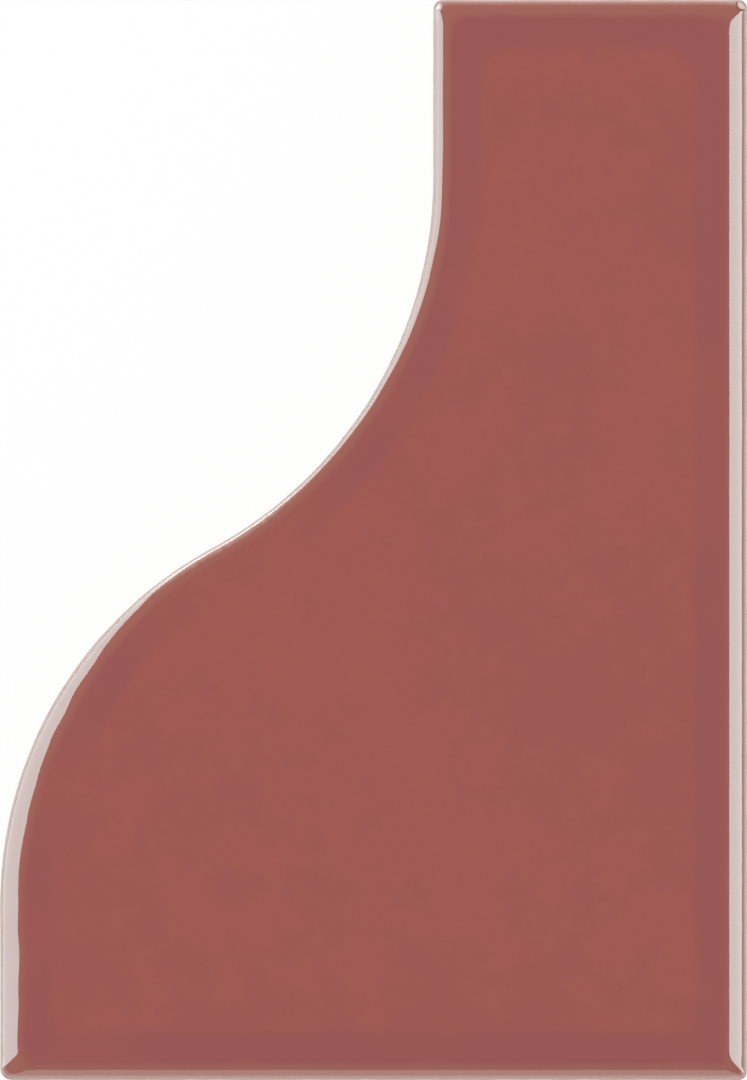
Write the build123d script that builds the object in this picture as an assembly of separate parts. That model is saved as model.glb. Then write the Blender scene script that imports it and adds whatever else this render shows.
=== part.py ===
"""Half-fan wall tile: a dust-pressed, glazed ceramic tile with one S-shaped side.

The tile lies on its back with the glazed face up. The origin is the centre of its bounding box on
the back plane, +Y runs from the wide foot to the narrow neck, and +X points to the long straight
side. A copy turned half round about +Z nests along the S with an even grout joint, because the
hollow's radius is one joint larger than the shoulder's.

Lengths are in millimetres and angles in degrees.
"""

from build123d import *

import os
from math import atan2, degrees, floor, radians, sin, tan

# Plan of the tile, where its drafted sides run down to the plane of the back
FOOT_WIDTH = 83.0
NECK_WIDTH = 34.9
HEIGHT = 120.0
END_STRAIGHT = 19.6
GROUT_JOINT = 2.0

# Section through an edge: a cushion that rolls off the face and meets the drafted side at a lip
THICKNESS = 8.3
SIDE_DRAFT = 3.0
CUSHION_RADIUS = 3.0
CUSHION_WIDTH = 2.45
LIP_RADIUS = 0.25
CORNER_RADIUS = 0.6
BACK_BEVEL = 0.5

# Keying of the back: pockets between ribs, inside a plain rim
RIM_WIDTH = 5.0
POCKET_WIDTH = 9.6
POCKET_CORNER_RADIUS = 1.2
POCKET_DEPTH = 0.9
POCKET_DRAFT = 30.0
RIB_WIDTH = 2.4
SMALLEST_POCKET_SHARE = 0.25


def plan_outline():
    """The closed outline: three straight sides, and two tangent arcs with straight ends on the fourth."""
    left, right = -FOOT_WIDTH / 2, FOOT_WIDTH / 2
    bottom, top = -HEIGHT / 2, HEIGHT / 2
    neck_left = right - NECK_WIDTH

    run = neck_left - left
    rise = HEIGHT - 2 * END_STRAIGHT
    turn = 2 * atan2(run, rise)
    joint_line_radius = rise / sin(turn) / 2
    hollow_radius = joint_line_radius + GROUT_JOINT / 2
    shoulder_radius = joint_line_radius - GROUT_JOINT / 2

    neck_flank = Line((neck_left, top), (neck_left, top - END_STRAIGHT))
    hollow = JernArc(neck_flank @ 1, neck_flank % 1, hollow_radius, -degrees(turn))
    shoulder = JernArc(hollow @ 1, hollow % 1, shoulder_radius, degrees(turn))
    straight_sides = Polyline(
        shoulder @ 1, (left, bottom), (right, bottom), (right, top), neck_flank @ 0
    )
    return make_face(Curve() + [neck_flank, hollow, shoulder, straight_sides])


def cushion_slab():
    """An upright slab that overhangs the face by what its rounded top edge is wider than the cushion."""
    draft_inset = THICKNESS * tan(radians(SIDE_DRAFT))
    overhang = CUSHION_RADIUS - CUSHION_WIDTH
    slab_plan = offset(plan_outline(), overhang - draft_inset, kind=Kind.INTERSECTION)
    slab = extrude(slab_plan, THICKNESS)
    return fillet(slab.faces().sort_by(Axis.Z)[-1].edges(), CUSHION_RADIUS)


def pressed_body():
    """The drafted blank under its cushion, bevelled round the back and eased at its corners and lip."""
    body = extrude(plan_outline(), THICKNESS, taper=SIDE_DRAFT) & cushion_slab()
    body = chamfer(body.faces().sort_by(Axis.Z)[0].edges(), BACK_BEVEL)

    uprights = body.edges().filter_by(lambda edge: abs((edge % 0.5).Z) > 0.9)
    end_to_end = uprights.group_by(Axis.Y)
    body = fillet(end_to_end[0] + end_to_end[-1], CORNER_RADIUS)

    # The level outlines are, from below, the back, its bevel, the lip and the flat of the face
    level_outlines = body.edges().filter_by(Plane.XY).group_by(Axis.Z)
    return fillet(level_outlines[-2], LIP_RADIUS)


def pocket():
    """One pocket, which narrows upwards so that the punch leaves it."""
    blank = extrude(Rectangle(POCKET_WIDTH, POCKET_WIDTH), POCKET_DEPTH, taper=POCKET_DRAFT)
    slants = blank.edges().filter_by(Plane.XY, reverse=True)
    return fillet(slants, POCKET_CORNER_RADIUS)


def back_pockets():
    """The pockets that key the back to its adhesive: whole between the rims, and clipped along the S."""
    field_plan = offset(plan_outline(), -RIM_WIDTH, kind=Kind.INTERSECTION)
    field = extrude(field_plan, POCKET_DEPTH, taper=POCKET_DRAFT)

    pitch = POCKET_WIDTH + RIB_WIDTH
    columns = floor((FOOT_WIDTH - 2 * RIM_WIDTH + RIB_WIDTH) / pitch)
    rows = floor((HEIGHT - 2 * RIM_WIDTH + RIB_WIDTH) / pitch)
    whole = pocket()
    clipped = [field & (place * whole) for place in GridLocations(pitch, pitch, columns, rows)]
    smallest = SMALLEST_POCKET_SHARE * whole.volume
    return [cell for cell in clipped if cell is not None and cell.volume > smallest]


def fan_tile():
    return pressed_body() - back_pockets()


os.makedirs("parts", exist_ok=True)
export_step(fan_tile(), "parts/fan_tile.step")
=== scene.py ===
"""Looks of the half-fan wall tile: a terracotta-pink glaze rolled over the edge of a pale pressed body.

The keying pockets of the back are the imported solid's own. The rest is modelled here at the same section,
fine enough for a glossy glaze: the back's bevel, the drafted side, the lip, the cushion and the flat of the
face. Lengths are in metres.
"""

import math

import bmesh
import bpy
from mathutils import Matrix, Vector, noise


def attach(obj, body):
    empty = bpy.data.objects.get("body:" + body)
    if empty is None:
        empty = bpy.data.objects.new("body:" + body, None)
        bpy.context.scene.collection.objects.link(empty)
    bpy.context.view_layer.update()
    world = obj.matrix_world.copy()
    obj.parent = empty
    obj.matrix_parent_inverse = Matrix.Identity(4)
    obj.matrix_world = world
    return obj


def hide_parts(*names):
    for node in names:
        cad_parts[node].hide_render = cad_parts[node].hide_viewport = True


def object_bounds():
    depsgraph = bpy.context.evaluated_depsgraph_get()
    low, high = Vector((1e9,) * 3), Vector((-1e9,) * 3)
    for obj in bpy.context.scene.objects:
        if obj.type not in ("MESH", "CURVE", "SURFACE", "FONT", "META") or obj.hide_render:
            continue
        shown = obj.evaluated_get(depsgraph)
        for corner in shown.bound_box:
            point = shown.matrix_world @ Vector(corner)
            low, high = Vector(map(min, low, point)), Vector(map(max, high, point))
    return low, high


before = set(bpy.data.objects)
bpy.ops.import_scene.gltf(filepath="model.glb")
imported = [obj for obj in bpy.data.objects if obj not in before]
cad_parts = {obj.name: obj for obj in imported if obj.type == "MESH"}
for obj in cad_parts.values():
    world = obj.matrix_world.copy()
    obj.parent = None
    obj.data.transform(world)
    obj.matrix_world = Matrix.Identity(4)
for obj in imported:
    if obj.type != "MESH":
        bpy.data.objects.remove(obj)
cad_low, cad_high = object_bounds()

MM = 0.001

# The plan, where the drafted sides would meet the plane of the back. The saddle is the middle of the S
SIDE_DRAFT = math.radians(3)
BACK_BEVEL = 0.5 * MM
BEVEL_INSET = BACK_BEVEL * math.tan(SIDE_DRAFT)
LEFT, RIGHT = cad_low.x - BEVEL_INSET, cad_high.x + BEVEL_INSET
BOTTOM, TOP = cad_low.y - BEVEL_INSET, cad_high.y + BEVEL_INSET
NECK_WIDTH = 34.9 * MM
END_STRAIGHT = 19.6 * MM
GROUT_JOINT = 2.0 * MM
SADDLE = ((LEFT + RIGHT - NECK_WIDTH) / 2, 0.0, 0.0)

# The section through the edge
THICKNESS = cad_high.z
CUSHION_RADIUS = 3.0 * MM
CUSHION_WIDTH = 2.45 * MM
LIP_RADIUS = 0.25 * MM
POCKET_DEPTH = 0.9 * MM

# The rounding of each corner in plan: its radius at the lip, and how fast that grows inwards
NECK_LEFT_ROUNDING = (1.0 * MM, 0.5)
NECK_RIGHT_ROUNDING = (0.9 * MM, 0.6)
FOOT_LEFT_ROUNDING = (1.3 * MM, 0.15)
FOOT_RIGHT_ROUNDING = (0.9 * MM, 0.15)
ROUNDING_REACH = 5.0 * MM

# How fine the mesh is
ARC_STEPS = 110
STRAIGHT_SPACING = 0.42 * MM
CORNER_CROWDING = 0.72
BODY_RINGS = 12
MARGIN_RINGS = 12
LIP_RINGS = 4
CUSHION_RINGS = 18
FACE_RUNS = [run * MM for run in (3.0, 3.6, 4.4, 5.4, 6.4, 7.6, 9.0)]
MERGE_DISTANCE = 1e-6
SHARP_ANGLE = math.radians(32)

# The glaze's lower margin on the side, and the bead above it. A wave is its height, length and seed
MARGIN_DEPTH = 1.2 * MM
MARGIN_MEAN = 0.42 * MM
MARGIN_WANDER = 0.26 * MM
MARGIN_WAVES = ((1.0, 3.5 * MM, 3.1), (0.5, 1.1 * MM, 7.7))
MARGIN_STEP = (-0.06 * MM, 0.06 * MM)
GLAZE_BEAD = 0.03 * MM
BEAD_FADE = (-0.1 * MM, 0.4 * MM)

# The cushion's breadth round the outline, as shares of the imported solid's
NECK_SHARE = 0.58
SADDLE_SHARE = 0.30
SHOULDER_SHARE = 1.24
RIGHT_SHARE = 1.05
NECK_END_SHARE = 0.65
FOOT_END_SHARE = 0.94
SHARE_WAVE = (0.14, 4 * MM, 6.6)

# Where one breadth passes into the next: along Y on the S, from an end, and past a corner along its end
NECK_TO_SADDLE = (43 * MM, 3 * MM)
SADDLE_TO_SHOULDER = (2 * MM, -23 * MM)
END_REACH = (15 * MM, 5 * MM)
CORNER_TURN = (-0.8 * MM, 0.8 * MM)

# The cushion's depth: for each share of breadth on the sides, and as a share of the solid's on the ends
LEFT_STEEPNESS = 0.7
RIGHT_STEEPNESS = 0.97
NECK_END_DEPTH = 0.62
FOOT_END_DEPTH = 0.66
NECK_CORNER_FADE = (0.8 * MM, 5 * MM)
FOOT_CORNER_FADE = (-2.2 * MM, 2.6 * MM)

# The thin glaze is as broad as the cushion on the sides, and has a breadth of its own on the ends
THIN_END_SHARE = 0.65

# The small unevenness of glaze and body, in waves as above
GLAZE_ROLLS = ((0.016 * MM, 7 * MM, 1.3), (0.004 * MM, 1.6 * MM, 5.9))
ROLL_FADE = (2.5 * MM, FACE_RUNS[3])
BODY_GRITS = ((0.018 * MM, 0.5 * MM, 2.2), (0.03 * MM, 2.6 * MM, 4.4))
GRIT_DEPTH = 0.02 * MM

# The bare patches where the glaze has drawn back from the neck's corners: where, and how big
BARE_PATCHES = (
    ((RIGHT - NECK_WIDTH + 0.54 * MM, TOP - 0.89 * MM, 0.0), 0.32 * MM),
    ((RIGHT - 0.63 * MM, TOP - 0.67 * MM, 0.0), 0.5 * MM),
)
PATCH_STEEPNESS = 0.12


def smoothstep(low, high, value):
    """0 at low and 1 at high, smooth between. Low may be the greater of the two."""
    share = min(1.0, max(0.0, (value - low) / (high - low)))
    return share * share * (3 - 2 * share)


def between(first, second, share):
    """The first value where the share is 0 and the second where it is 1."""
    return first + (second - first) * share


def wander(place, *waves):
    """Smooth noise about 0, summed over waves of a height, a length and a seed."""
    return sum(
        height * noise.noise(place / length + Vector((seed, seed, seed))) for height, length, seed in waves
    )


def outline_face(mesh):
    """The widest outline, at the top of the back's bevel, as one face."""
    neck_left = RIGHT - NECK_WIDTH
    run = neck_left - LEFT
    rise = TOP - BOTTOM - 2 * END_STRAIGHT
    turn = 2 * math.atan2(run, rise)
    joint_line_radius = rise / math.sin(turn) / 2
    hollow_centre = Vector((neck_left - joint_line_radius - GROUT_JOINT / 2, TOP - END_STRAIGHT, BACK_BEVEL))
    shoulder_centre = Vector((LEFT + joint_line_radius - GROUT_JOINT / 2, BOTTOM + END_STRAIGHT, BACK_BEVEL))

    def swept(vert, centre, angle):
        arc = bmesh.ops.spin(
            mesh, geom=[vert], cent=centre, axis=(0, 0, 1), angle=angle, steps=ARC_STEPS, use_duplicate=False
        )
        return next(item for item in arc["geom_last"] if isinstance(item, bmesh.types.BMVert))

    def straight(vert, x, y):
        end = mesh.verts.new((x, y, BACK_BEVEL))
        mesh.edges.new((vert, end))
        return end

    before = set(mesh.edges)
    neck_corner = mesh.verts.new((neck_left + BEVEL_INSET, TOP - BEVEL_INSET, BACK_BEVEL))
    flank_end = straight(neck_corner, neck_left + BEVEL_INSET, TOP - END_STRAIGHT)
    inflection = swept(flank_end, hollow_centre, -turn)
    shoulder_end = swept(inflection, shoulder_centre, turn)
    foot_corner = straight(shoulder_end, LEFT + BEVEL_INSET, BOTTOM + BEVEL_INSET)
    right_foot = straight(foot_corner, RIGHT - BEVEL_INSET, BOTTOM + BEVEL_INSET)
    right_neck = straight(right_foot, RIGHT - BEVEL_INSET, TOP - BEVEL_INSET)
    mesh.edges.new((right_neck, neck_corner))
    outline = [edge for edge in mesh.edges if edge not in before]
    face = bmesh.ops.contextual_create(mesh, geom=outline)["faces"][0]
    face.normal_update()
    if face.normal.z < 0:
        face.normal_flip()
    return face


def edge_profile():
    """Each ring's inset from the plan, its height, and its run: how far it lies inside or below the lip."""
    up_side = Vector((math.sin(SIDE_DRAFT), math.cos(SIDE_DRAFT)))
    into_side = Vector((math.cos(SIDE_DRAFT), -math.sin(SIDE_DRAFT)))
    face_inset = THICKNESS * math.tan(SIDE_DRAFT)
    cushion_centre = Vector((face_inset + CUSHION_WIDTH, THICKNESS - CUSHION_RADIUS))

    # The lip's arc touches the side and, from inside, the cushion's arc
    offset_side = into_side * LIP_RADIUS
    gap = offset_side - cushion_centre
    along = gap.dot(up_side)
    lip_centre = offset_side + up_side * (
        math.sqrt(along**2 - gap.length_squared + (CUSHION_RADIUS - LIP_RADIUS) ** 2) - along
    )
    outward = (lip_centre - cushion_centre).normalized()
    side_tilt = math.pi / 2 - SIDE_DRAFT
    lip_tilt = math.atan2(-outward.x, outward.y)
    lip_foot = lip_centre.y + LIP_RADIUS * math.cos(side_tilt)
    lip_inset = lip_centre.x - LIP_RADIUS * math.sin(side_tilt)

    rings = []
    margin_foot = lip_foot - MARGIN_DEPTH
    heights = [BACK_BEVEL + (margin_foot - BACK_BEVEL) * k / BODY_RINGS for k in range(1, BODY_RINGS + 1)]
    heights += [margin_foot + MARGIN_DEPTH * k / MARGIN_RINGS for k in range(1, MARGIN_RINGS + 1)]
    for height in heights:
        rings.append((height * math.tan(SIDE_DRAFT), height, height - lip_foot))
    for k in range(1, LIP_RINGS + 1):
        tilt = side_tilt + (lip_tilt - side_tilt) * k / LIP_RINGS
        point = lip_centre + LIP_RADIUS * Vector((-math.sin(tilt), math.cos(tilt)))
        rings.append((point.x, point.y, point.x - lip_inset))
    for k in range(1, CUSHION_RINGS + 1):
        tilt = lip_tilt * (1 - k / CUSHION_RINGS)
        point = cushion_centre + CUSHION_RADIUS * Vector((-math.sin(tilt), math.cos(tilt)))
        rings.append((point.x, point.y, point.x - lip_inset))
    for run in FACE_RUNS:
        rings.append((lip_inset + run, THICKNESS, run))
    return rings


def divide_straights(mesh, pocket_edges):
    """Cuts the long edges of each straight side evenly, the same number of times on every ring."""
    shortest = END_STRAIGHT / 3
    sides = {}
    for edge in mesh.edges:
        if edge in pocket_edges or edge.calc_length() < shortest:
            continue
        first, second = (vert.co for vert in edge.verts)
        middle, along = (first + second) / 2, second - first
        if abs(along.y) < abs(along.x):
            side = "neck_end" if middle.y > 0 else "foot_end"
        elif middle.x > RIGHT / 2:
            side = "long_side"
        else:
            side = "neck_flank" if middle.y > 0 else "foot_flank"
        sides.setdefault(side, []).append(edge)
    for edges in sides.values():
        cuts = round(max(edge.calc_length() for edge in edges) / STRAIGHT_SPACING) - 1
        bmesh.ops.subdivide_edges(mesh, edges=edges, cuts=cuts, use_grid_fill=True)


def raise_rings(mesh, face, run_layer):
    """Draws the face down to the back, and in and up to the flat. Returns the rings from the back up."""
    pocket_edges = set(mesh.edges).difference(face.edges)
    underside = bmesh.ops.duplicate(mesh, geom=[face])["face_map"][face]
    underside.normal_flip()
    bmesh.ops.inset_region(
        mesh,
        faces=[underside],
        thickness=BACK_BEVEL - BEVEL_INSET,
        depth=BACK_BEVEL,
        use_even_offset=True,
        use_boundary=True,
    )
    inset, height = BEVEL_INSET, BACK_BEVEL
    profile = edge_profile()
    for next_inset, next_height, _ in profile:
        bmesh.ops.inset_region(
            mesh,
            faces=[face],
            thickness=next_inset - inset,
            depth=next_height - height,
            use_even_offset=True,
            use_boundary=True,
        )
        inset, height = next_inset, next_height
    bmesh.ops.delete(mesh, geom=[underside], context="FACES_ONLY")
    bmesh.ops.remove_doubles(mesh, verts=mesh.verts, dist=MERGE_DISTANCE)
    divide_straights(mesh, pocket_edges)

    levels = [(BACK_BEVEL, 0.0, -THICKNESS), (BEVEL_INSET, BACK_BEVEL, BACK_BEVEL - THICKNESS)] + profile
    flat = max(mesh.faces, key=lambda item: len(item.verts))
    rings = [list(flat.verts)]
    known = set(rings[0])
    for _ in levels[1:]:
        ring = []
        for vert in rings[-1]:
            beside = (edge.other_vert(vert) for edge in vert.link_edges)
            ring.append(next(other for other in beside if other not in known))
        known.update(ring)
        rings.append(ring)
    rings.reverse()

    for ring, (_, height, run) in zip(rings, levels):
        for vert in ring:
            vert.co.z = height
            vert[run_layer] = run
    return rings


def crowd(value, corner, far_corner):
    """Shifts a place between two corners towards the nearer one, so that the mesh is finest there."""
    share = (value - corner) / (far_corner - corner)
    shift = CORNER_CROWDING * math.sin(2 * math.pi * share) / (2 * math.pi)
    return corner + (far_corner - corner) * (share - shift)


def round_corner(ring, corner, inward, radius):
    """Moves the ring's places beside one sharp corner onto an arc that touches both of its sides."""
    for vert in ring:
        gap = vert.co.xy - corner
        reach = abs(gap.x) + abs(gap.y)
        if reach < radius:
            turn = (1 - reach / radius) * math.pi / 4
            steps = [radius * (1 - math.sin(turn)), radius * (1 - math.cos(turn))]
            if abs(gap.x) < abs(gap.y):
                steps.reverse()
            vert.co.x = corner.x + inward[0] * steps[0]
            vert.co.y = corner.y + inward[1] * steps[1]


def shape_corners(rings, run_layer):
    """Crowds the places on the straight sides towards the corners, and rounds the corners of each ring."""
    for ring in rings:
        left, right = (pick(vert.co.x for vert in ring) for pick in (min, max))
        bottom, top = (pick(vert.co.y for vert in ring) for pick in (min, max))
        neck_left = min(vert.co.x for vert in ring if top - vert.co.y < MERGE_DISTANCE)
        for vert in ring:
            place = vert.co
            if right - place.x < MERGE_DISTANCE:
                place.y = crowd(place.y, bottom, top)
            elif place.y - bottom < MERGE_DISTANCE:
                place.x = crowd(place.x, left, right)
            elif top - place.y < MERGE_DISTANCE:
                place.x = crowd(place.x, neck_left, right)
            elif place.y > TOP - END_STRAIGHT:
                place.y = crowd(place.y, top, 2 * (TOP - END_STRAIGHT) - top)
            elif place.y < BOTTOM + END_STRAIGHT:
                place.y = crowd(place.y, bottom, 2 * (BOTTOM + END_STRAIGHT) - bottom)

        inset_run = min(max(ring[0][run_layer], 0.0), ROUNDING_REACH)
        for corner, inward, (radius, growth) in (
            (Vector((neck_left, top)), (1, -1), NECK_LEFT_ROUNDING),
            (Vector((right, top)), (-1, -1), NECK_RIGHT_ROUNDING),
            (Vector((left, bottom)), (1, 1), FOOT_LEFT_ROUNDING),
            (Vector((right, bottom)), (-1, 1), FOOT_RIGHT_ROUNDING),
        ):
            round_corner(ring, corner, inward, radius + growth * inset_run)


def across(place):
    """0 all along the S and 1 at the long straight side."""
    return smoothstep(0.5, 1.0, (place.x - LEFT) / (RIGHT - LEFT))


def end_gap(place):
    """How far a place lies from the nearer end."""
    return min(TOP - place.y, place.y - BOTTOM)


def past_corner(place):
    """How far along an end a place lies from the nearer corner. It is below 0 on the S and the long side."""
    left_corner = LEFT if place.y < 0 else RIGHT - NECK_WIDTH
    return min(place.x - left_corner, RIGHT - place.x) - end_gap(place)


def side_share(place):
    """How broad the cushion is along the sides: tight at the neck, and tightest at the saddle."""
    left = between(NECK_SHARE, SADDLE_SHARE, smoothstep(*NECK_TO_SADDLE, place.y))
    left = between(left, SHOULDER_SHARE, smoothstep(*SADDLE_TO_SHOULDER, place.y))
    left *= 1 + wander(place, SHARE_WAVE)
    return between(left, RIGHT_SHARE, across(place))


def depth_share(place):
    """How deep the cushion falls to its lip there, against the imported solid's own section."""
    at_side = side_share(place) * between(LEFT_STEEPNESS, RIGHT_STEEPNESS, across(place))
    if place.y > 0:
        at_end, corner_fade = NECK_END_DEPTH, NECK_CORNER_FADE
    else:
        at_end, corner_fade = FOOT_END_DEPTH, FOOT_CORNER_FADE
    return between(at_side, at_end, smoothstep(*corner_fade, past_corner(place)))


def end_share(place):
    """How broad the cushion is along the nearer end."""
    return NECK_END_SHARE if place.y > 0 else FOOT_END_SHARE


def pulled_run(run, share):
    """Where a ring's run comes to lie when its cushion takes this share of the full width."""
    width = CUSHION_WIDTH * share
    if run <= CUSHION_WIDTH:
        return run * share
    last_run = FACE_RUNS[-1]
    return width + (run - CUSHION_WIDTH) * (last_run - width) / (last_run - CUSHION_WIDTH)


def pull_cushion(rings, run_layer, width_layer):
    """The pull of the glaze: the cushion's size varies along the outline, and side and flat take it up.

    Near a corner the cushion has the side's width across the side and the end's width across the end.
    """
    lip = next(k for k, ring in enumerate(rings) if ring[0][run_layer] >= 0)
    lip_drop = THICKNESS - rings[lip][0].co.z
    above_bevel = rings[2:]
    for column, start in enumerate([vert.co.copy() for vert in rings[lip]]):
        across_side = side_share(start)
        across_end = between(across_side, end_share(start), smoothstep(*END_REACH, end_gap(start)))
        turned = smoothstep(*CORNER_TURN, past_corner(start))
        share = between(across_side, end_share(start), turned)
        thin_share = between(across_side, THIN_END_SHARE, turned)
        depth = depth_share(start)
        side_stretch = (THICKNESS - lip_drop * depth - BACK_BEVEL) / (start.z - BACK_BEVEL)
        for ring in above_bevel:
            vert = ring[column]
            vert[width_layer] = CUSHION_WIDTH * thin_share
            run = vert[run_layer]
            if run < 0:
                vert.co.z = BACK_BEVEL + (vert.co.z - BACK_BEVEL) * side_stretch
                continue
            if run > 0:
                vert.co.x = start.x + (vert.co.x - start.x) * pulled_run(run, across_side) / run
                vert.co.y = start.y + (vert.co.y - start.y) * pulled_run(run, across_end) / run
            vert.co.z = THICKNESS - (THICKNESS - vert.co.z) * depth
            vert[run_layer] = pulled_run(run, share)


def keep_pockets(mesh):
    """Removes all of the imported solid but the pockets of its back."""

    def in_pocket(face):
        depths = [vert.co.z for vert in face.verts]
        at_ends = all(min(abs(depth), abs(depth - POCKET_DEPTH)) < MERGE_DISTANCE for depth in depths)
        return at_ends and max(depths) > POCKET_DEPTH / 2

    shell = [face for face in mesh.faces if not in_pocket(face)]
    bmesh.ops.delete(mesh, geom=shell, context="FACES")


def close_back(mesh):
    """Fills the plane of the back between the foot of the shell and the openings of the pockets."""
    rim = [edge for edge in mesh.edges if edge.is_boundary]
    bmesh.ops.triangle_fill(mesh, edges=rim, use_beauty=True, normal=(0, 0, -1))


def margin_run(place):
    """The run at which the glaze ends on the side. It is below 0, as is every run below the lip."""
    return -(MARGIN_MEAN + MARGIN_WANDER * wander(place, *MARGIN_WAVES))


def weather(mesh, run_layer):
    """The small unevenness of a fired tile: a rolling glaze with a bead at its margin, and a gritty body."""
    mesh.normal_update()
    moves = []
    for vert in mesh.verts:
        run = vert[run_layer]
        if vert.co.z < BACK_BEVEL / 2 or run > ROLL_FADE[1]:
            continue
        glazed = smoothstep(*MARGIN_STEP, run - margin_run(vert.co))
        on_side = 1 - smoothstep(*BEAD_FADE, run)
        settle = 1 - smoothstep(*ROLL_FADE, run)
        glaze = wander(vert.co, *GLAZE_ROLLS) * settle + GLAZE_BEAD * on_side
        body = min(0.0, wander(vert.co, *BODY_GRITS) - GRIT_DEPTH)
        moves.append((vert, vert.normal * (glazed * glaze + (1 - glazed) * body)))
    for vert, move in moves:
        vert.co += move


def tile_piece():
    """The whole tile as one closed mesh. Its vertices keep their run and the breadth of the thin glaze.

    A run is how far a place lies inside the lip, or less than 0 below it.
    """
    mesh = bmesh.new()
    mesh.from_mesh(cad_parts["fan_tile"].data)
    bmesh.ops.remove_doubles(mesh, verts=mesh.verts, dist=MERGE_DISTANCE)
    keep_pockets(mesh)
    # A second new layer makes the first one's handle stale, so both are fetched by name
    for name in ("thin_width", "edge_run"):
        mesh.verts.layers.float.new(name)
    run_layer = mesh.verts.layers.float["edge_run"]
    width_layer = mesh.verts.layers.float["thin_width"]
    for vert in mesh.verts:
        vert[run_layer] = -THICKNESS
        vert[width_layer] = CUSHION_WIDTH

    rings = raise_rings(mesh, outline_face(mesh), run_layer)
    shape_corners(rings, run_layer)
    pull_cushion(rings, run_layer, width_layer)
    close_back(mesh)
    weather(mesh, run_layer)
    bmesh.ops.recalc_face_normals(mesh, faces=mesh.faces)
    for face in mesh.faces:
        face.smooth = True

    data = bpy.data.meshes.new("fan_tile_glazed")
    mesh.to_mesh(data)
    mesh.free()
    data.set_sharp_from_angle(angle=SHARP_ANGLE)
    piece = bpy.data.objects.new("fan_tile_glazed", data)
    bpy.context.scene.collection.objects.link(piece)
    return piece


class Signal:
    """A number that changes over a surface. Arithmetic on it adds Math nodes."""

    def __init__(self, look, socket):
        self.look = look
        self.socket = socket

    def _combine(self, operation, *values):
        made = self.look.add("ShaderNodeMath", {"operation": operation}, dict(enumerate(values)))
        return Signal(self.look, made.outputs[0])

    def __add__(self, other):
        return self._combine("ADD", self, other)

    def __radd__(self, other):
        return self._combine("ADD", other, self)

    def __sub__(self, other):
        return self._combine("SUBTRACT", self, other)

    def __rsub__(self, other):
        return self._combine("SUBTRACT", other, self)

    def __mul__(self, other):
        return self._combine("MULTIPLY", self, other)

    def __rmul__(self, other):
        return self._combine("MULTIPLY", other, self)

    def over(self, other):
        """This signal where it is the greater of the two."""
        return self._combine("MAXIMUM", self, other)

    def rise(self, low, high):
        """0 below low, 1 above high and smooth between."""
        sockets = {"Value": self, "From Min": low, "From Max": high}
        made = self.look.add("ShaderNodeMapRange", {"interpolation_type": "SMOOTHSTEP"}, sockets)
        return Signal(self.look, made.outputs[0])


class Look:
    """A node tree and the one method that adds its nodes."""

    def __init__(self, owner):
        owner.use_nodes = True
        self.tree = owner.node_tree
        self.tree.nodes.clear()

    def add(self, kind, settings=None, sockets=None):
        """Adds a node: its settings first, and then the values or links of its sockets."""
        node = self.tree.nodes.new(kind)
        for name, value in (settings or {}).items():
            setattr(node, name, value)
        for name, value in (sockets or {}).items():
            source = getattr(value, "socket", value)
            if isinstance(source, bpy.types.NodeSocket):
                self.tree.links.new(source, node.inputs[name])
            else:
                node.inputs[name].default_value = source
        return node

    def place(self):
        return self.add("ShaderNodeTexCoord").outputs["Object"]

    def along(self, axis):
        return Signal(self, self.add("ShaderNodeSeparateXYZ", {}, {0: self.place()}).outputs[axis])

    def plan_distance(self, spot):
        """How far the surface lies from a spot, seen from above."""
        level = self.add("ShaderNodeVectorMath", {"operation": "MULTIPLY"}, {0: self.place(), 1: (1, 1, 0)})
        made = self.add("ShaderNodeVectorMath", {"operation": "DISTANCE"}, {0: level.outputs[0], 1: spot})
        return Signal(self, made.outputs["Value"])

    def attribute(self, name):
        return Signal(self, self.add("ShaderNodeAttribute", {"attribute_name": name}).outputs["Fac"])

    def cloud(self, size, detail=2.0, roughness=0.5, shift=(0, 0, 0)):
        """Soft noise, 0 to 1, whose blots are about one size across."""
        moved = self.add("ShaderNodeMapping", {}, {"Vector": self.place(), "Location": shift})
        sockets = {"Vector": moved.outputs[0], "Scale": 1 / size, "Detail": detail, "Roughness": roughness}
        return Signal(self, self.add("ShaderNodeTexNoise", {}, sockets).outputs["Fac"])

    def specks(self, cell, radius, share):
        """Round specks: one for each of a share of the cells, 1 at its middle."""
        made = self.add("ShaderNodeTexVoronoi", {}, {"Vector": self.place(), "Scale": 1 / cell})
        chance = self.add("ShaderNodeSeparateColor", {}, {"Color": made.outputs["Color"]})
        near = 1 - Signal(self, made.outputs["Distance"]).rise(radius / cell * 0.4, radius / cell)
        return near * Signal(self, chance.outputs[0]).rise(1 - share, 1 - share * 0.9)

    def blend(self, share, first, second):
        """The first colour where the share is 0 and the second where it is 1."""
        made = self.add("ShaderNodeMix", {"data_type": "RGBA"}, {0: share, 6: first, 7: second})
        return made.outputs[2]


def rgb(red, green, blue):
    return (red, green, blue, 1.0)


# Base colours, linear
GLAZE_FIELD = rgb(0.317, 0.0645, 0.0540)
GLAZE_WARM = rgb(0.340, 0.0705, 0.0515)
GLAZE_RING = rgb(0.298, 0.0620, 0.0560)
GLAZE_THIN = rgb(0.330, 0.093, 0.069)
GLAZE_LIP = rgb(0.52, 0.34, 0.29)
GLAZE_PIT = rgb(0.16, 0.035, 0.03)
BARE_CORNER = rgb(0.70, 0.60, 0.52)
BISCUIT_PALE = rgb(0.59, 0.44, 0.39)
BISCUIT_SHADE = rgb(0.45, 0.315, 0.27)
BISCUIT_DUST = rgb(0.42, 0.165, 0.12)
# A pale slip with a painted highlight: paler than the body, for the bright line where the S faces the key
# light
PALE_SLIP_AND_PAINTED_HIGHLIGHT = rgb(0.80, 0.66, 0.62)

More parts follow.
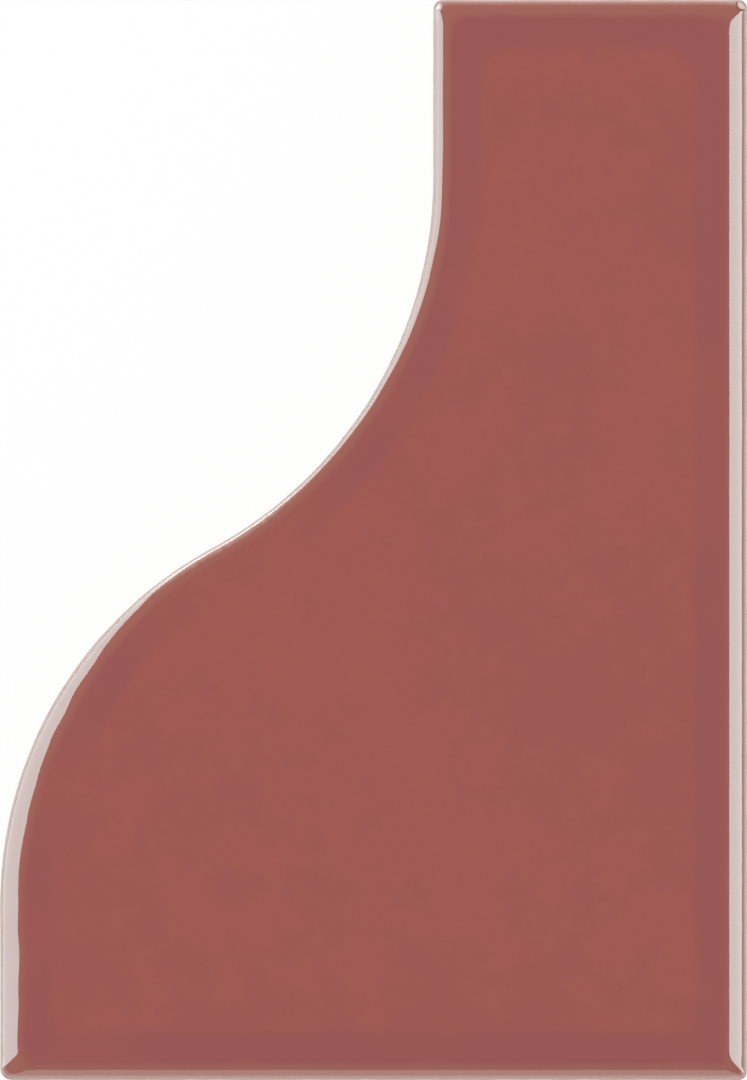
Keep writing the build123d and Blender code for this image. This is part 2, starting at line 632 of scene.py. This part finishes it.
# Clouds in the glaze: size, detail, roughness and place in the noise
BROAD_MOTTLE = (26 * MM, 2.0, 0.5, (5, 2, 1))
FINE_MOTTLE = (5 * MM, 4.0, 0.65, (2, 6, 3))
GLAZE_GRAIN = (0.5 * MM, 2.0, 0.6, (8, 3, 2))
GLAZE_POOLS = (24 * MM, 1.0, 0.5, (3, 9, 4))
GLAZE_FLOW = (5 * MM, 3.0)
LIP_NOTCHES = (0.9 * MM, 3.0, 0.6, (6, 1, 9))
MARGIN_NOTCHES = (1.6 * MM, 2.0, 0.6, (2, 8, 5))
GLOSS_DRIFT = (14 * MM, 2.0, 0.5, (1, 1, 4))
GLAZE_SWELL = (11 * MM, 1.0, 0.4, (7, 7, 7))
GLAZE_RIPPLE = (1.7 * MM, 2.0, 0.5, (4, 6, 8))

# Clouds in the bare body, in the same terms
BODY_GRAIN = (0.45 * MM, 3.0, 0.65)
BODY_PATCHES = (3.2 * MM, 2.0, 0.6, (3, 1, 7))
OVERSPRAY_SPOTS = (0.7 * MM, 2.0, 0.7, (9, 4, 2))
DULLNESS_DRIFT = (0.9 * MM,)
FINE_GRIT = (0.22 * MM, 3.0, 0.7)
BROAD_GRIT = (0.9 * MM, 2.0, 0.6)

# How far a cloud moves an edge of the glaze, or how high it stands
FLOW_SHIFT = 1.4 * MM
LIP_NOTCH_DEPTH = 0.1 * MM
SADDLE_NOTCH_DEPTH = 0.4 * MM
MARGIN_NOTCH_DEPTH = 0.3 * MM
SWELL_HEIGHT = 0.010 * MM
RIPPLE_HEIGHT = 0.0006 * MM
FINE_GRIT_HEIGHT = 0.035 * MM
BROAD_GRIT_HEIGHT = 0.05 * MM

# Where the finish changes, as runs. The ring and the thin glaze reach further in where the cushion is broad
RING_FADE = (3.7 * MM, 4.9 * MM)
THIN_FADE = (0.5 * MM, 1.1 * MM)
LIP_FADE = (-0.15 * MM, 0.5 * MM)
SADDLE_LIP_EXTRA = 0.2 * MM
LIP_SLIP_AND_HIGHLIGHT_FADE = (0.0, 0.11 * MM)
MARGIN_FADE = (-0.05 * MM, 0.05 * MM)
OVERSPRAY_FADE = (-2.6 * MM, -0.3 * MM)
DUST_FADE = (-7.0 * MM, -3.0 * MM)
SIDE_SLIP_AND_HIGHLIGHT_FADE = (-4.5 * MM, -1.5 * MM)

# Where it changes in plan: away from the saddle, and in from the long side or an end
SADDLE_REACH = (4 * MM, 15 * MM)
POOL_REACH = (4 * MM, 20 * MM)
EDGE_BAND = (3 * MM, 2 * MM)
DUST_BAND = (1.2 * MM, 0.5 * MM)

# The pinholes of the glaze, on the flat of the face alone
PIT_CELL = 3.6 * MM
PIT_RADIUS = 0.11 * MM
PIT_SHARE = 0.16
PIT_DEPTH = 0.004 * MM
PIT_FADE = (3.0 * MM, 4.0 * MM)


def pits(look, run):
    return look.specks(PIT_CELL, PIT_RADIUS, PIT_SHARE) * run.rise(*PIT_FADE)


def by_ends(look, far_gap, near_gap):
    """0 where both ends are further off than the far gap, and 1 where one is nearer than the near gap."""
    along = look.along("Y")
    return (along * along).rise((TOP - far_gap) ** 2, (TOP - near_gap) ** 2)


def glaze_colour(look, run, by_saddle):
    """The glaze pools in a darker ring inside the cushion and thins to a paler tone over the edge."""
    thin_width = look.attribute("thin_width")
    flow = (look.cloud(*GLAZE_FLOW) - 0.5) * FLOW_SHIFT
    mottle = look.cloud(*BROAD_MOTTLE) * 0.45 + look.cloud(*FINE_MOTTLE) * 0.55
    tone = look.blend(mottle.rise(0.40, 0.60), GLAZE_FIELD, GLAZE_WARM)
    tone = look.blend(look.cloud(*GLAZE_GRAIN).rise(0.35, 0.75) * 0.35, tone, GLAZE_RING)
    pooled = look.plan_distance(SADDLE).rise(*POOL_REACH) * 0.75 + 0.2
    pooled = pooled * look.cloud(*GLAZE_POOLS).rise(0.2, 0.55)
    ring = 1 - (run + flow).rise(thin_width * 0.5 + RING_FADE[0], thin_width * 0.5 + RING_FADE[1])
    tone = look.blend(ring * pooled, tone, GLAZE_RING)
    thin = 1 - (run + flow * 0.3).rise(thin_width * 0.35 + THIN_FADE[0], thin_width * 0.6 + THIN_FADE[1])
    tone = look.blend(thin, tone, GLAZE_THIN)

    # Over the lip the body shows through. At the saddle a pale slip with a painted highlight lies there, with
    # a ragged edge
    ragged = (look.cloud(*LIP_NOTCHES) - 0.5) * (LIP_NOTCH_DEPTH + by_saddle * SADDLE_NOTCH_DEPTH)
    show_through = 1 - (run + ragged).rise(LIP_FADE[0], by_saddle * SADDLE_LIP_EXTRA + LIP_FADE[1])
    by_long_side = look.along("X").rise(RIGHT - EDGE_BAND[0], RIGHT - EDGE_BAND[1])
    stronger = (by_saddle.over(by_long_side) * 0.6).over(by_ends(look, *EDGE_BAND) * 0.4)
    tone = look.blend(show_through * (stronger + 0.4), tone, GLAZE_LIP)
    bared_slip_and_highlight = 1 - (run + ragged * 0.4).rise(*LIP_SLIP_AND_HIGHLIGHT_FADE)
    tone = look.blend(bared_slip_and_highlight * by_saddle, tone, PALE_SLIP_AND_PAINTED_HIGHLIGHT)

    # Each bare patch has a dark rim of thick glaze round it
    for spot, radius in BARE_PATCHES:
        away = look.plan_distance(spot)
        rim = away.rise(radius, radius * 1.15) * (1 - away.rise(radius * 1.35, radius * 1.65))
        tone = look.blend(rim * 0.55, tone, GLAZE_PIT)
        tone = look.blend(1 - away.rise(radius * 0.8, radius * 1.1), tone, BARE_CORNER)
    return look.blend(pits(look, run) * 0.5, tone, GLAZE_PIT)


def biscuit_colour(look, run, by_saddle):
    """The bare body is pale and gritty, with overspray below the margin, dust on both ends and a pale slip
    with a painted highlight by the saddle.
    """
    grain = look.cloud(*BODY_GRAIN)
    patches = look.cloud(*BODY_PATCHES)
    tone = look.blend((grain * 0.6 + patches * 0.4).rise(0.35, 0.65), BISCUIT_SHADE, BISCUIT_PALE)
    overspray = run.rise(*OVERSPRAY_FADE) * look.cloud(*OVERSPRAY_SPOTS).rise(0.42, 0.66)
    dust = by_ends(look, *DUST_BAND) * run.rise(*DUST_FADE) * (0.6 + patches * 0.4)
    tone = look.blend((overspray * 0.55).over(dust), tone, BISCUIT_DUST)
    # Near the saddle the side is painted paler: a pale slip with a painted highlight
    return look.blend(by_saddle * run.rise(*SIDE_SLIP_AND_HIGHLIGHT_FADE) * 0.8, tone, PALE_SLIP_AND_PAINTED_HIGHLIGHT)


def fired_tile():
    """Glaze and bare body in one finish, divided along the wandering margin on the side."""
    material = bpy.data.materials.new("fired_tile")
    look = Look(material)
    run = look.attribute("edge_run")
    margin = MARGIN_MEAN + (look.cloud(*MARGIN_NOTCHES) - 0.5) * MARGIN_NOTCH_DEPTH
    glazed = (run + margin).rise(*MARGIN_FADE)

    by_saddle = 1 - look.plan_distance(SADDLE).rise(*SADDLE_REACH)
    colour = look.blend(glazed, biscuit_colour(look, run, by_saddle), glaze_colour(look, run, by_saddle))
    glossy = 0.035 + look.cloud(*GLOSS_DRIFT) * 0.02
    dull = 0.78 + look.cloud(*DULLNESS_DRIFT) * 0.14
    roughness = glazed * glossy + (1 - glazed) * dull

    rolling = look.cloud(*GLAZE_SWELL) * SWELL_HEIGHT + look.cloud(*GLAZE_RIPPLE) * RIPPLE_HEIGHT
    grit = look.cloud(*FINE_GRIT) * FINE_GRIT_HEIGHT + look.cloud(*BROAD_GRIT) * BROAD_GRIT_HEIGHT
    height = glazed * (rolling - pits(look, run) * PIT_DEPTH) + (1 - glazed) * grit
    for spot, radius in BARE_PATCHES:
        sunk = 1 - look.plan_distance(spot).rise(radius, radius * 1.5)
        height = height - sunk * (radius * PATCH_STEEPNESS)
    bump = look.add("ShaderNodeBump", {}, {"Height": height, "Strength": 1.0, "Distance": 1.0})

    sockets = {"Base Color": colour, "Roughness": roughness, "Normal": bump.outputs[0], "IOR": 1.5}
    surface = look.add("ShaderNodeBsdfPrincipled", {}, sockets)
    look.add("ShaderNodeOutputMaterial", {}, {"Surface": surface.outputs[0]})
    return material


# The studio: white all round to the eye, a soft key light, and a pale floor a hair below the back
AMBIENT = 0.78
KEY_SHARE = 0.22
KEY_AZIMUTH, KEY_ELEVATION = 125, 52
KEY_DISTANCE, KEY_SIZE = 1.2, 0.7
FLOOR_WHITE = 0.95
FLOOR_KEEP_WHITE = 0.93
FLOOR_HALF_WIDTH = 3.0
FLOOR_GAP = 0.02 * MM

# The panels that the glaze mirrors: azimuth, distance, height, reach to either side, radiance and tint
MIRRORED_PANELS = {
    "left_softbox": (197, 0.28, 0.385, (-2.2, 0.0), 10.0, (0.67, 0.96, 0.97)),
    "right_softbox": (0, 0.40, 0.54, (-0.15, 0.16), 10.0, (0.78, 1.0, 0.99)),
    "foot_card": (270, 0.50, 0.42, (-0.45, 0.45), 2.6, (0.82, 0.87, 0.81)),
}

# The camera's lens and frame in millimetres, and the picture in pixels
CAMERA_LENS = 900.0
FULL_FRAME = 36.0
IMAGE_WIDTH, IMAGE_HEIGHT = 747, 1080


def seen(look):
    """1 for the rays that show a background: the camera's own, and those off gloss or through glass."""
    path = look.add("ShaderNodeLightPath")
    camera, glossy, through = (
        Signal(look, path.outputs[name]) for name in ("Is Camera Ray", "Is Glossy Ray", "Is Transmission Ray")
    )
    return camera.over(glossy).over(through)


def surroundings():
    world = bpy.data.worlds.new("studio")
    look = Look(world)
    strength = AMBIENT + seen(look) * (1 - AMBIENT)
    sockets = {"Color": rgb(1, 1, 1), "Strength": strength}
    backdrop = look.add("ShaderNodeBackground", {}, sockets)
    look.add("ShaderNodeOutputWorld", {}, {"Surface": backdrop.outputs[0]})
    bpy.context.scene.world = world


def studio_floor():
    """A pale floor, white to the eye where it is lit, that keeps the tile's shadow."""
    mesh = bmesh.new()
    below = Matrix.Translation((0, 0, -FLOOR_GAP))
    bmesh.ops.create_grid(mesh, x_segments=1, y_segments=1, size=FLOOR_HALF_WIDTH, matrix=below)
    data = bpy.data.meshes.new("floor")
    mesh.to_mesh(data)
    mesh.free()
    floor = bpy.data.objects.new("floor", data)
    bpy.context.scene.collection.objects.link(floor)

    material = bpy.data.materials.new("pale_floor")
    look = Look(material)
    matt = look.add("ShaderNodeBsdfDiffuse", {}, {"Color": rgb(FLOOR_WHITE, FLOOR_WHITE, FLOOR_WHITE)})
    white = look.add("ShaderNodeEmission", {}, {"Color": rgb(1, 1, 1), "Strength": 1.0})
    share = seen(look) * FLOOR_KEEP_WHITE
    mixed = look.add("ShaderNodeMixShader", {}, {0: share, 1: matt.outputs[0], 2: white.outputs[0]})
    look.add("ShaderNodeOutputMaterial", {}, {"Surface": mixed.outputs[0]})
    data.materials.append(material)


def lamp_panel(name, size, radiance, tint=(1.0, 1.0, 1.0)):
    """A flat square-edged lamp of one brightness, hidden from the camera."""
    lamp = bpy.data.lights.new(name, "AREA")
    lamp.shape = "RECTANGLE"
    lamp.size, lamp.size_y = size
    lamp.color = tint
    lamp.energy = radiance * math.pi * lamp.size * lamp.size_y
    stand = bpy.data.objects.new(name, lamp)
    stand.rotation_mode = "QUATERNION"
    stand.visible_camera = False
    bpy.context.scene.collection.objects.link(stand)
    return stand


def mirrored_panel(name, azimuth, distance, height, reach, radiance, tint):
    """A panel upright on the floor that the glaze mirrors.

    Azimuth 0 is at +X and 90 at +Y, and the panel reaches to two places along the azimuth's increase.
    """
    panel = lamp_panel(name, (reach[1] - reach[0], height), radiance, tint)
    turn = math.radians(azimuth)
    towards = Vector((math.cos(turn), math.sin(turn), 0))
    along = Vector((-towards.y, towards.x, 0))
    panel.location = towards * distance + along * ((reach[0] + reach[1]) / 2) + Vector((0, 0, height / 2))
    panel.rotation_quaternion = towards.to_track_quat("Z", "Y")
    panel.visible_diffuse = False


def key_light():
    """The soft main light, from the upper left, which shows in no reflection."""
    azimuth, elevation = math.radians(KEY_AZIMUTH), math.radians(KEY_ELEVATION)
    flat = math.cos(elevation)
    towards = Vector((math.cos(azimuth) * flat, math.sin(azimuth) * flat, math.sin(elevation)))
    radiance = KEY_SHARE * math.pi * KEY_DISTANCE**2 / (KEY_SIZE**2 * math.sin(elevation))
    key = lamp_panel("key", (KEY_SIZE, KEY_SIZE), radiance)
    key.location = towards * KEY_DISTANCE
    key.rotation_quaternion = towards.to_track_quat("Z", "Y")
    key.visible_glossy = False


def camera_above():
    """Straight above the tile, and so far off that its sides show by little more than their draft."""
    data = bpy.data.cameras.new("above")
    data.lens = CAMERA_LENS
    data.sensor_width = FULL_FRAME
    widest_high = max(cad_high.y - cad_low.y, (cad_high.x - cad_low.x) * IMAGE_HEIGHT / IMAGE_WIDTH)
    distance = widest_high * CAMERA_LENS / FULL_FRAME
    data.clip_end = 2 * distance
    camera = bpy.data.objects.new("above", data)
    centre = (cad_low + cad_high) / 2
    camera.location = (centre.x, centre.y, BACK_BEVEL + distance)
    bpy.context.scene.collection.objects.link(camera)
    bpy.context.scene.camera = camera


tile = tile_piece()
tile.data.materials.clear()
tile.data.materials.append(fired_tile())
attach(tile, "root")
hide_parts("fan_tile")

surroundings()
studio_floor()
key_light()
for panel_name, panel_place_and_light in MIRRORED_PANELS.items():
    mirrored_panel(panel_name, *panel_place_and_light)
camera_above()
bpy.context.scene.view_settings.view_transform = "Standard"
